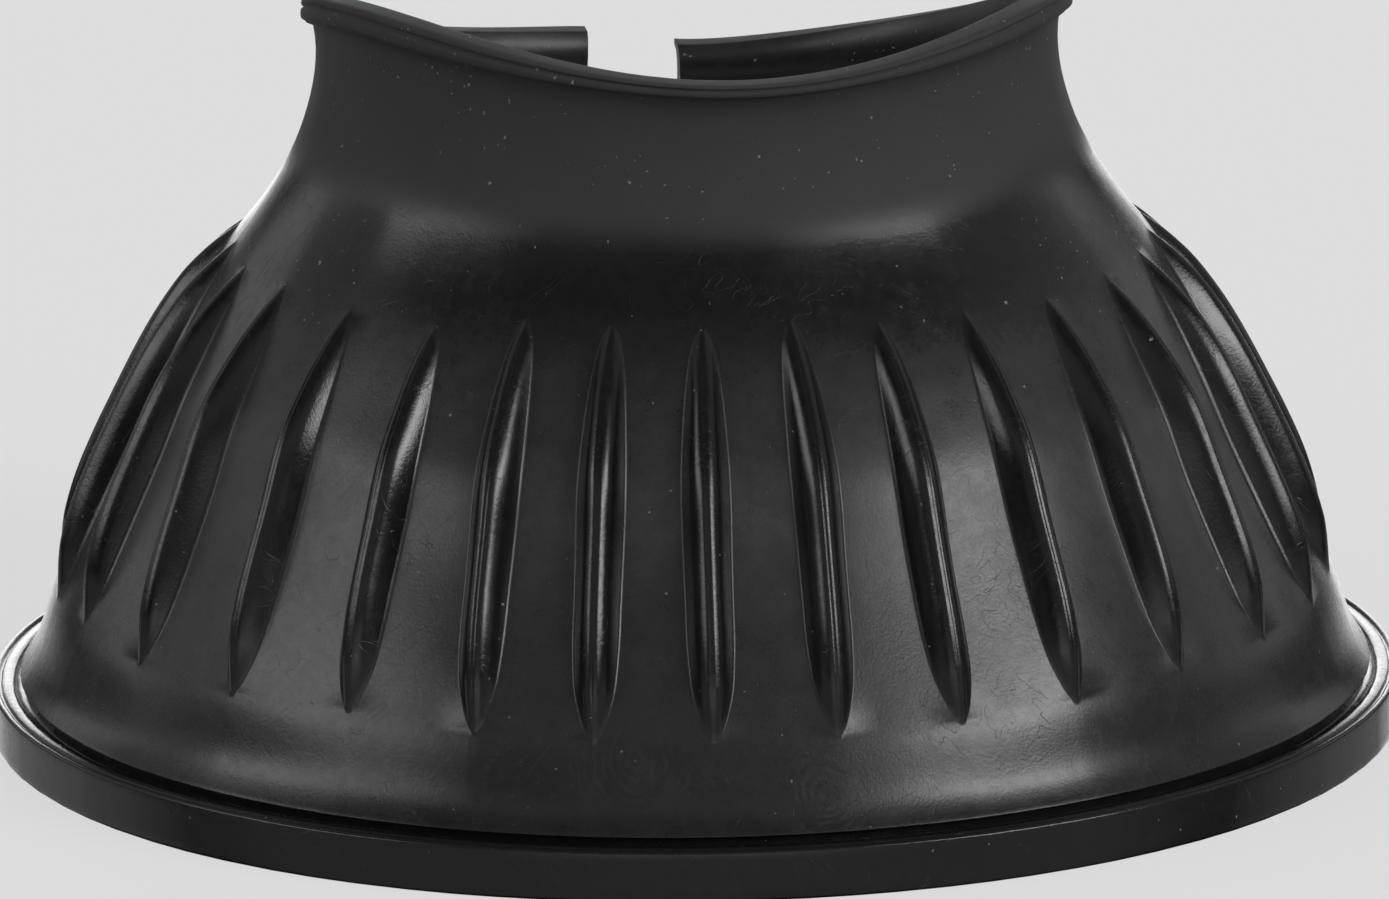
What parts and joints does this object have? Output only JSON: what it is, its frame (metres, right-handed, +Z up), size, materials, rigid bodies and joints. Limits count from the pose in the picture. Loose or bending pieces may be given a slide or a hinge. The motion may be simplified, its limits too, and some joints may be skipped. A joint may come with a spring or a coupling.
{
  "type": "rubber bell boot",
  "caption": "Low ribbed rubber bell with a flared collar and a banded hem, slit down the back and closed there by hook-and-loop straps.",
  "frame": {"origin": "centre of the hem's circle on its flat underside", "axes": "+Z up along the bell's axis towards the collar, -Y to the front of the boot, +Y to the slit and its straps"},
  "size_m": [0.195, 0.1947, 0.108],
  "materials": {
    "rubber": "satin black moulded rubber",
    "webbing": "black woven webbing",
    "hook_tape": "black hook tape",
    "loop_tape": "black loop tape",
    "thread": "black sewing thread"
  },
  "bodies": {
    "shell": {"bell_shell": "rubber", "upper_strap_root": "webbing", "upper_loop_patch": "loop_tape", "upper_root_stitching": "thread", "upper_loop_stitching": "thread", "lower_strap_root": "webbing", "lower_loop_patch": "loop_tape", "lower_root_stitching": "thread", "lower_loop_stitching": "thread"},
    "upper_strap": {"upper_strap_tail": "webbing", "upper_hook_patch": "hook_tape", "upper_hook_stitching": "thread"},
    "lower_strap": {"lower_strap_tail": "webbing", "lower_hook_patch": "hook_tape", "lower_hook_stitching": "thread"}
  },
  "joints": [
    {"name": "upper_strap_fold", "type": "hinge", "parent": "shell", "child": "upper_strap", "pos_m": [0.0118, 0.06578, 0.0656], "axis": [0.1113, 0.6203, -0.7764], "range_deg": [0, 145]},
    {"name": "lower_strap_fold", "type": "hinge", "parent": "shell", "child": "lower_strap", "pos_m": [0.01325, 0.08386, 0.03171], "axis": [0.0682, 0.4316, -0.8995], "range_deg": [0, 145]}
  ]
}
